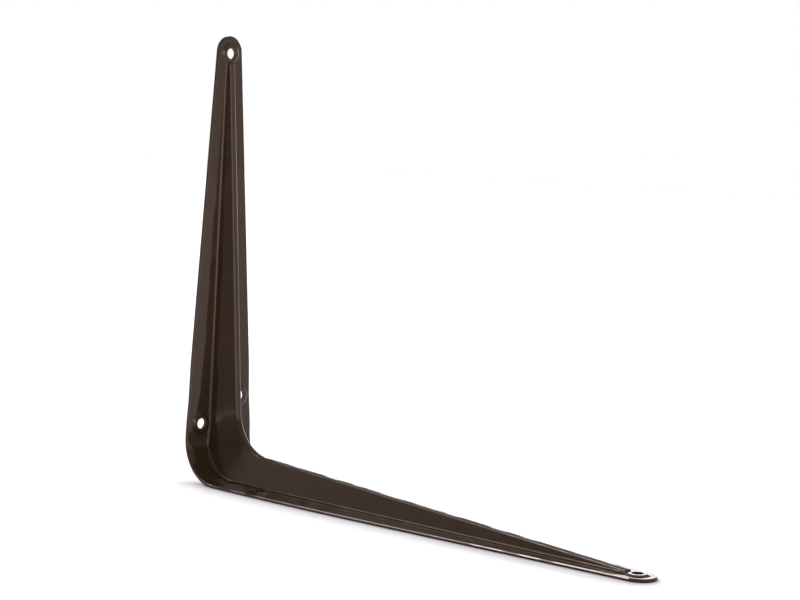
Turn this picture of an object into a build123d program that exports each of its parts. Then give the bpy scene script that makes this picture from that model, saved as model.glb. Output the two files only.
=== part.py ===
from build123d import *
import os
from math import acos, atan2, cos, hypot, sin, sqrt

# One-piece shelf bracket pressed from steel sheet. Sizes are in millimetres.
# It is drawn with its outside corner at the origin: the long arm lies along +X, the short arm
# stands along +Z, their outside faces are in the planes Z = 0 and X = 0, and Y = 0 is the middle.

# Sheet and arms
long_arm = 250.0            # from the outside of the short arm to the long arm's tip
short_arm = 200.0           # from the outside of the long arm to the short arm's tip
sheet = 1.3                 # thickness of the painted sheet
bend_radius = 19.5          # outside radius of the corner
bend_width = 37.4           # width across the corner
tip_radius = 7.0            # round end of each arm
long_shoulder = 110.0       # where the long arm's edges start their straight taper
long_shoulder_width = 31.6
short_neck = 36.0           # narrow stretch of the short arm, between the bend and the shoulder
short_neck_width = 35.2
short_shoulder = 54.0       # where the short arm's edges start their straight taper
short_shoulder_width = 33.7
edge_bevel = 0.45           # softened sheared edge, on the front

# Hollow rib on the inside of the corner
long_rib_height = 13.8      # crest above the long arm's flange, where the two crests would meet
short_rib_height = 14.6     # crest above the short arm's flange, where the two crests would meet
long_nose_height = 1.2      # crest above the flange at the end of the rib
short_nose_height = 1.7
nose_lean = 0.6             # how far the rib's end slopes back for each millimetre of height
crest_width = 3.0           # top of the rib, before its edges are rounded
crest_radius = 19.5         # curve of the crest in the inside corner
wall_draft = 0.36           # how far a rib wall leans out for each millimetre of depth
crest_round = 1.2           # rounded edges of the crest
crease_round = 1.2          # hollow rounding where the rib rises from the flange
nose_round = 1.0            # rounded corners of the rib's sloping ends
mouth_round = 0.6           # rounded lip of the hollow, on the back

# Screw holes
hole_radius = 2.35
boss_height = 0.6           # low boss pressed up round each hole, on the front
boss_radius = 5.1           # of its foot
boss_top_radius = 3.6       # of its flat top
boss_recess_inset = 0.3     # by which the hollow behind it is smaller
tip_hole_inset = 7.8        # from each tip to the centre of its hole
nose_to_hole = 3.3          # from the foot of the rib's end to the centre of the tip's hole
corner_hole_offset = 11.1   # of the holes beside the rib, from the middle
short_inner_hole = 26.0     # of the holes beside the rib, from the outside corner
short_outer_hole = 37.0
long_inner_hole = 32.0
long_outer_hole = 43.0

# The rib's walls are drawn down to a root behind the sheet, and are trimmed in the sheet
root_depth = 6.0
root_radius = bend_radius + root_depth
# The short arm is drawn flat, like the long one, in a plane that stands it up
upright = Plane(origin=(0, 0, 0), x_dir=(0, 0, 1), z_dir=(1, 0, 0))
# Shapes nearer than this count as touching
touching = 0.001


def arm_outline(length, *stations):
    """Flat arm along +X, from the bend line through places of given widths to its round tip."""
    corner, *_, waist = points = [
        Vector(place, width / 2) for place, width in ((bend_radius, bend_width), *stations)
    ]
    centre = length - tip_radius
    reach = hypot(centre - waist.X, waist.Y)
    turn = atan2(waist.Y, waist.X - centre) - acos(tip_radius / reach)
    tangent = Vector(centre + tip_radius * cos(turn), tip_radius * sin(turn))
    curve = Spline(*points, tangents=[(1, 0), tangent - waist])
    side = [curve, Line(waist, tangent)]
    tip = ThreePointArc(tangent, (length, 0), (tangent.X, -tangent.Y))
    base = Line(corner, (corner.X, -corner.Y))
    return make_face([*side, tip, *[mirror(run, about=Plane.XZ) for run in side], base])


def rim(faces):
    """Edges that belong to just one of the faces."""
    edges = [edge for face in faces for edge in face.edges()]
    return [edge for edge in edges if sum(edge.is_same(other) for other in edges) == 1]


def sheet_faces(body, depth):
    """Faces of the flanges and the bend at a depth under the outside faces."""

    def at_depth(face):
        if face.geom_type == GeomType.CYLINDER:
            return abs(face.radius - (bend_radius - depth)) < touching
        if face.geom_type != GeomType.PLANE:
            return False
        place, normal = face.center(), face.normal_at()
        level = place.X if abs(normal.X) > abs(normal.Z) else place.Z
        return abs(normal.Y) < touching and abs(level - depth) < touching

    return [face for face in body.faces() if at_depth(face)]


def bent_plate():
    """The sheet with its corner bent and its front edges softened, before the rib is pressed."""
    long_outline = arm_outline(long_arm, (long_shoulder, long_shoulder_width))
    short_outline = arm_outline(
        short_arm,
        (short_neck, short_neck_width),
        (short_shoulder, short_shoulder_width),
    )
    section = Circle(bend_radius) - Circle(bend_radius - sheet)
    ring = extrude(Plane.XZ * Pos(bend_radius, bend_radius) * section, bend_width / 2, both=True)
    quarter = Pos(bend_radius / 2, 0, bend_radius / 2) * Box(bend_radius, bend_width, bend_radius)
    plate = extrude(long_outline, sheet) + extrude(upright * short_outline, sheet) + (ring & quarter)
    return chamfer(rim(sheet_faces(plate, sheet)), edge_bevel)


def inside_corner(depth):
    """Room in front of the sheet, from a depth under its outside faces."""
    room = Pos(depth, depth) * Rectangle(long_arm, short_arm, align=Align.MIN)
    corner = room.vertices().sort_by_distance((0, 0, 0))[0]
    return extrude(Plane.XZ * fillet(corner, bend_radius - depth), bend_width / 2, both=True)


def nose_end(length, height, inset):
    """Where the rib's sloping end, drawn in by inset, is at a height over the outside face."""
    foot = length - tip_hole_inset - nose_to_hole
    return foot - nose_lean * (height - sheet) - inset * sqrt(1 + nose_lean**2)


def rounded_rail(short_end, corner, long_end, radius):
    """Rail of three runs, straight, curved and straight, from the short arm to the long one."""
    runs = FilletPolyline(short_end, corner, long_end, radius=radius).edges()
    return sorted(runs, key=lambda run: run.center().X - run.center().Z)


def rib_rails(inset):
    """Root and crest of one rib wall, then crest and root of the other, drawn in by inset."""
    corner_x = sheet + short_rib_height - inset
    corner_z = sheet + long_rib_height - inset
    short_top = sheet + short_nose_height - inset
    long_top = sheet + long_nose_height - inset
    short_end = nose_end(short_arm, short_top, inset)
    long_end = nose_end(long_arm, long_top, inset)
    short_root = nose_end(short_arm, -root_depth, inset)
    long_root = nose_end(long_arm, -root_depth, inset)
    crest_half = crest_width / 2 - inset * (sqrt(1 + wall_draft**2) - wall_draft)
    corner_half = crest_half + wall_draft * ((corner_x + corner_z) / 2 + root_depth)

    def root_half(root, start, start_top, end, top):
        """Half width at a nose's root that keeps the wall flat all along its arm."""
        slope = (top - start_top) / (end - start)
        nose_depth = start_top + slope * (root - start) + root_depth
        corner_depth = start_top + slope * (-root_depth - start) + root_depth
        return crest_half + (corner_half - crest_half) * nose_depth / corner_depth

    short_half = root_half(short_root, corner_z, corner_x, short_end, short_top)
    long_half = root_half(long_root, corner_x, corner_z, long_end, long_top)

    def wall_rails(side):
        y = side * crest_half
        root = rounded_rail(
            (-root_depth, side * short_half, short_root),
            (-root_depth, side * corner_half, -root_depth),
            (long_root, side * long_half, -root_depth),
            root_radius,
        )
        crest = rounded_rail(
            (short_top, y, short_end),
            (corner_x, y, corner_z),
            (long_end, y, long_top),
            crest_radius + inset,
        )
        return [root, crest]

    return wall_rails(-1) + wall_rails(1)[::-1]


def strip(run, other):
    """Face between two runs: flat between straight ones, ruled between curves."""
    if run.geom_type == GeomType.LINE:
        return Face(Wire.make_polygon([run @ 0, run @ 1, other @ 1, other @ 0]))
    return Face.make_surface_from_curves(run, other)


def rib_form(inset):
    """Solid inside the rib's four rails, drawn in from its outer skin by inset."""
    rails = rib_rails(inset)
    pairs = zip(rails, rails[1:] + rails[:1])
    faces = [strip(*runs) for pair in pairs for runs in zip(*pair)]
    faces.append(Face(Wire.make_polygon([rail[0] @ 0 for rail in rails])))
    faces.append(Face(Wire.make_polygon([rail[-1] @ 1 for rail in rails])))
    return Solid(Shell(faces))


def outer_rib():
    """The rib's outer form with its noses and crest rounded, trimmed inside the sheet."""
    form = rib_form(0)
    noses = [form.faces().sort_by(Axis.Z)[-1], form.faces().sort_by(Axis.X)[-1]]
    slopes = [edge for nose in noses for edge in nose.edges().filter_by(Axis.Y, reverse=True)]
    form = fillet(slopes, nose_round)
    _, crest, other_crest, _ = rib_rails(0)
    middles = [(run @ 0.5 + other @ 0.5) / 2 for run, other in zip(crest, other_crest)]
    form = fillet(rim([form.faces().sort_by_distance(point)[0] for point in middles]), crest_round)
    return form & inside_corner(sheet / 2)


def meeting_edges(body, depth, form):
    """Edges where a form rises from the body's sheet, at a depth under its outside faces."""
    return [edge for edge in rim(sheet_faces(body, depth)) if edge.distance_to(form) < touching]


def pressed_sheet(rib):
    """The bent plate with the hollow rib pressed in it."""
    body = bent_plate() + rib
    body = fillet(meeting_edges(body, sheet, rib), crease_round)
    hollow = rib_form(sheet)
    body = body - hollow
    return fillet(meeting_edges(body, 0, hollow), mouth_round)


def boss():
    """Boss that rises from the front of the flat sheet at the origin."""
    root = Pos(0, 0, 3 / 4 * sheet) * Cylinder(boss_radius, sheet / 2)
    rise = Pos(0, 0, sheet + boss_height / 2) * Cone(boss_radius, boss_top_radius, boss_height)
    return root + rise


def boss_cutter():
    """Cutter for the conical hollow behind a boss and for the hole through it."""
    foot = boss_radius - boss_recess_inset
    top = boss_top_radius - boss_recess_inset
    hollow = Cone(2 * foot - top, top, 2 * boss_height)
    return hollow + Cylinder(hole_radius, 4 * sheet)


def arm_holes(length, inner_hole, outer_hole):
    """Places of a flat arm's holes along +X: one at its tip and a staggered pair beside the rib."""
    return [
        Pos(length - tip_hole_inset, 0),
        Pos(inner_hole, corner_hole_offset),
        Pos(outer_hole, -corner_hole_offset),
    ]


holes = arm_holes(long_arm, long_inner_hole, long_outer_hole)
holes += [upright.location * hole for hole in arm_holes(short_arm, short_inner_hole, short_outer_hole)]
bracket = pressed_sheet(outer_rib())
bracket += [hole * boss() for hole in holes]
bracket -= [hole * boss_cutter() for hole in holes]

# The part's own origin is under the middle of the long arm's length
os.makedirs("parts", exist_ok=True)
export_step(Pos(-long_arm / 2, 0, 0) * bracket, "parts/pressed_bracket.step")
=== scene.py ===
from math import cos, radians, sin

import bpy
from mathutils import Matrix, Vector

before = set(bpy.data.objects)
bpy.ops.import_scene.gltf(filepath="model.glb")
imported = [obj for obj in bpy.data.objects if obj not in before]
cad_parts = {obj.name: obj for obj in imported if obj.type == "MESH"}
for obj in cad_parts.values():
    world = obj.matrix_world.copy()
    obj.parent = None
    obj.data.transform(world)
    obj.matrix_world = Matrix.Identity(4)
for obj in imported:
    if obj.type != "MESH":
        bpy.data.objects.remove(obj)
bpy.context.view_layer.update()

# Glossy brown shelf bracket on a white floor. Lengths are in metres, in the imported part's frame.

# Camera, fitted to the photograph's outline
camera_place = Vector((0.54586, -0.56376, 0.16270))
camera_azimuth = radians(44.664)    # round from the front, towards +X
camera_pitch = radians(5.125)       # looking down
camera_roll = radians(2.176)
focal_pixels = 1934.0
image_width = 800                   # pixels
sensor_width_mm = 36.0

# Paint
paint_colour = (0.040, 0.022, 0.0095)
paint_shift = 0.12                      # share by which the colour gets lighter and darker
paint_patch = 0.03                      # size of the lighter and darker patches
paint_roughness = (0.06, 0.09)
paint_ior = 1.43
paint_sheen = (1.0, 0.80, 0.76, 1.0)    # tint of what the gloss reflects
wave_size = 0.016                       # gentle waves that the pressing leaves in the sheet
wave_height = 0.0005
grain_size = 0.0013                     # fine orange peel of the paint
grain_height = 0.000002
noise_detail = 1.0
edge_softness = 0.0003                  # radius of the paint's rounding over sharp edges
edge_samples = 8

# Floor: a white table top that ends a little way in front of the bracket
floor_front = -0.25
floor_back = 4.0
floor_side = 4.0
floor_colour = (0.76, 0.735, 0.78, 1.0)
floor_roughness = 0.6
floor_ior = 1.2
# To the camera and in reflections it glows white, apart from a narrow painted shade at the bracket's foot,
# standing in for the bracket keeping off the light from behind; the glow is dimmed where the bracket is
# near
floor_glow = 0.68
floor_glow_colour = (0.97, 0.96, 1.0, 1.0)
# Painted shade: the direction in which it looks for the bracket, how far, and how sharply it darkens
painted_shade_towards = (-0.5, 0.86, 0.15)
painted_shade_reach = 0.016
painted_shade_depth = 6.5

# Studio: a white backdrop all round, which fades to a dim ceiling between two heights,
# given as the sine of the elevation
studio_colour = (1.0, 1.0, 1.0, 1.0)
backdrop_light = 1.0
ceiling_light = 0.42
backdrop_top = 0.245
ceiling_start = 0.285
# Round patches of other light. The angles, in degrees from the middle, are where a patch is full
# and where it has faded out. Left and right are as the camera sees them
backdrop_patches = [
    dict(towards=(0.25, -0.97, 0.0), core=30, edge=88, light=0.2),      # dark room behind the camera
    dict(towards=(-0.20, -0.95, -0.30), core=14, edge=24, light=0.42),  # dim floor at the front left
    dict(towards=(0.67, -0.67, -0.20), core=8, edge=25, light=2.2),     # lit floor under the camera
    dict(towards=(-0.75, -0.65, -0.20), core=12, edge=30, light=2.0),   # lit floor at the left
    dict(towards=(0.97, -0.24, 0.03), core=10, edge=22, light=3.0),     # soft light right of the camera
    dict(towards=(-0.75, 0.65, 0.10), core=25, edge=62, light=3.2),     # bright backdrop behind the bracket
]
upper_patches = [
    dict(towards=(-0.85, -0.50, 0.22), core=10, edge=28, light=0.65),   # wall at the left
    dict(towards=(0.30, 0.50, 0.80), core=15, edge=45, light=0.55),     # lighter ceiling at the right
    dict(towards=(-0.50, -0.51, 0.70), core=12, edge=17, light=2.0),    # soft box high at the left
]
# Row of small lamps high at the left, which shine along the long arm's near edge
lamp_core = 1.5
lamp_edge = 4.5
lamps = [
    dict(towards=(-0.700, -0.216, 0.680), light=4.0),
    dict(towards=(-0.645, -0.238, 0.725), light=8.5),
    dict(towards=(-0.590, -0.250, 0.767), light=7.5),
    dict(towards=(-0.535, -0.258, 0.805), light=30.0),
]


def feed(node, values):
    """Sets a node's inputs, each to a plain value or to the output of another node."""
    for name, value in values.items():
        socket = node.inputs[name]
        if isinstance(value, bpy.types.NodeSocket):
            node.id_data.links.new(value, socket)
        else:
            socket.default_value = value


def add_node(tree, kind, values, **settings):
    """New node of a kind, with its settings made and its inputs fed."""
    node = tree.nodes.new(kind)
    for name, setting in settings.items():
        setattr(node, name, setting)
    feed(node, values)
    return node


def calculate(tree, operation, first, second):
    """Result of an operation on two values."""
    return add_node(tree, "ShaderNodeMath", {0: first, 1: second}, operation=operation).outputs["Value"]


def new_material(name):
    """Material with nodes, and its shader."""
    material = bpy.data.materials.new(name)
    material.use_nodes = True
    return material, material.node_tree.nodes["Principled BSDF"]


def add_camera():
    """Camera at the photograph's viewpoint, with its slight roll."""
    back = Vector((
        sin(camera_azimuth) * cos(camera_pitch),
        -cos(camera_azimuth) * cos(camera_pitch),
        sin(camera_pitch),
    ))
    level = Vector((cos(camera_azimuth), sin(camera_azimuth), 0.0))
    upward = back.cross(level)
    right = level * cos(camera_roll) + upward * sin(camera_roll)
    up = back.cross(right)
    data = bpy.data.cameras.new("camera")
    data.sensor_fit = "HORIZONTAL"
    data.sensor_width = sensor_width_mm
    data.lens = sensor_width_mm * focal_pixels / image_width
    camera = bpy.data.objects.new("camera", data)
    turn = Matrix((right, up, back)).transposed().to_4x4()
    camera.matrix_world = Matrix.Translation(camera_place) @ turn
    bpy.context.collection.objects.link(camera)
    bpy.context.scene.camera = camera


def add_floor():
    """White floor that keeps the object's shadow, with a painted shade added at its foot."""
    corners = [
        (-floor_side, floor_front, 0),
        (floor_side, floor_front, 0),
        (floor_side, floor_back, 0),
        (-floor_side, floor_back, 0),
    ]
    mesh = bpy.data.meshes.new("floor")
    mesh.from_pydata(corners, [], [range(len(corners))])
    mesh.materials.append(floor_white())
    floor = bpy.data.objects.new("floor", mesh)
    bpy.context.collection.objects.link(floor)


def floor_white():
    """Matt white that glows where it is seen, dimmed to a painted shade at the object's foot."""
    material, shader = new_material("floor_white")
    tree = material.node_tree
    away = tree.nodes.new("ShaderNodeNormal").outputs["Normal"]
    away.default_value = Vector(painted_shade_towards).normalized()
    # Painted shade: the glow dims where the bracket lies within reach in the given direction
    clear = add_node(tree, "ShaderNodeAmbientOcclusion", {"Distance": painted_shade_reach, "Normal": away})
    painted_shade = calculate(tree, "POWER", clear.outputs["AO"], painted_shade_depth)
    glow = calculate(tree, "MULTIPLY", seen_rays(tree), floor_glow)
    feed(shader, {
        "Base Color": floor_colour,
        "Roughness": floor_roughness,
        "IOR": floor_ior,
        "Emission Color": floor_glow_colour,
        "Emission Strength": calculate(tree, "MULTIPLY", glow, painted_shade),
    })
    return material


def seen_rays(tree):
    """1 for the rays that show a surface as it looks, 0 for those that light the object."""
    path = tree.nodes.new("ShaderNodeLightPath")
    total = path.outputs["Is Camera Ray"]
    for name in ("Is Glossy Ray", "Is Transmission Ray"):
        total = calculate(tree, "MAXIMUM", total, path.outputs[name])
    return total


def add_world():
    """Studio whose light differs with direction, and which the camera sees as plain white."""
    world = bpy.data.worlds.new("studio")
    bpy.context.scene.world = world
    world.use_nodes = True
    tree = world.node_tree
    direction = tree.nodes.new("ShaderNodeTexCoord").outputs["Generated"]
    level = backdrop_light
    for patch in backdrop_patches:
        level = add_patch(tree, direction, level, **patch)
    level = add_ceiling(tree, direction, level)
    for patch in upper_patches:
        level = add_patch(tree, direction, level, **patch)
    for lamp in lamps:
        level = add_patch(tree, direction, level, core=lamp_core, edge=lamp_edge, **lamp)
    camera_rays = tree.nodes.new("ShaderNodeLightPath").outputs["Is Camera Ray"]
    level = mixed(tree, camera_rays, level, backdrop_light)
    feed(tree.nodes["Background"], {"Color": studio_colour, "Strength": level})


def add_ceiling(tree, direction, level):
    """The studio's level with a dim ceiling above the backdrop."""
    height = add_node(tree, "ShaderNodeSeparateXYZ", {"Vector": direction}).outputs["Z"]
    return mixed(tree, risen(tree, height, backdrop_top, ceiling_start), level, ceiling_light)


def add_patch(tree, direction, level, towards, core, edge, light):
    """The studio's level with a round patch of another light, soft from its core to its edge."""
    ends = {0: direction, 1: Vector(towards).normalized()}
    nearness = add_node(tree, "ShaderNodeVectorMath", ends, operation="DOT_PRODUCT").outputs["Value"]
    return mixed(tree, risen(tree, nearness, cos(radians(edge)), cos(radians(core))), level, light)


def risen(tree, value, low, high):
    """Share that rises softly from 0 to 1 while a value goes from low to high."""
    values = {"Value": value, "From Min": low, "From Max": high}
    return add_node(tree, "ShaderNodeMapRange", values, interpolation_type="SMOOTHSTEP").outputs["Result"]


def mixed(tree, share, level, light):
    """The level, replaced by another light as far as share goes."""
    return add_node(tree, "ShaderNodeMix", {"Factor": share, "A": level, "B": light}).outputs["Result"]


def enamel():
    """Dark brown gloss paint, slightly patchy in colour and gloss."""
    material, shader = new_material("brown_enamel_paint")
    tree = material.node_tree
    patches = noise(tree, paint_patch)
    colour = add_node(tree, "ShaderNodeValToRGB", {"Fac": patches})
    for stop, change in zip(colour.color_ramp.elements, (1 - paint_shift, 1 + paint_shift)):
        stop.color = (*[value * change for value in paint_colour], 1)
    smoothest, dullest = paint_roughness
    gloss = {"Value": patches, "To Min": smoothest, "To Max": dullest}
    feed(shader, {
        "Base Color": colour.outputs["Color"],
        "Roughness": add_node(tree, "ShaderNodeMapRange", gloss).outputs["Result"],
        "IOR": paint_ior,
        "Specular Tint": paint_sheen,
        "Normal": uneven_normal(tree),
    })
    return material


def uneven_normal(tree):
    """Normal of a sheet with softened edges, gentle waves and a fine grain."""
    soft = add_node(tree, "ShaderNodeBevel", {"Radius": edge_softness}, samples=edge_samples)
    normal = soft.outputs["Normal"]
    for size, height in ((wave_size, wave_height), (grain_size, grain_height)):
        relief = {"Distance": height, "Height": noise(tree, size), "Normal": normal}
        normal = add_node(tree, "ShaderNodeBump", relief).outputs["Normal"]
    return normal


def noise(tree, size):
    """Soft noise from 0 to 1 with patches of a given size, fixed to the object."""
    place = tree.nodes.new("ShaderNodeTexCoord").outputs["Object"]
    values = {"Vector": place, "Scale": 1 / size, "Detail": noise_detail}
    return add_node(tree, "ShaderNodeTexNoise", values).outputs["Fac"]


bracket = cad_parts["pressed_bracket"]
bracket.data.materials.clear()
bracket.data.materials.append(enamel())

add_camera()
add_world()
add_floor()
bpy.context.scene.view_settings.view_transform = "Standard"
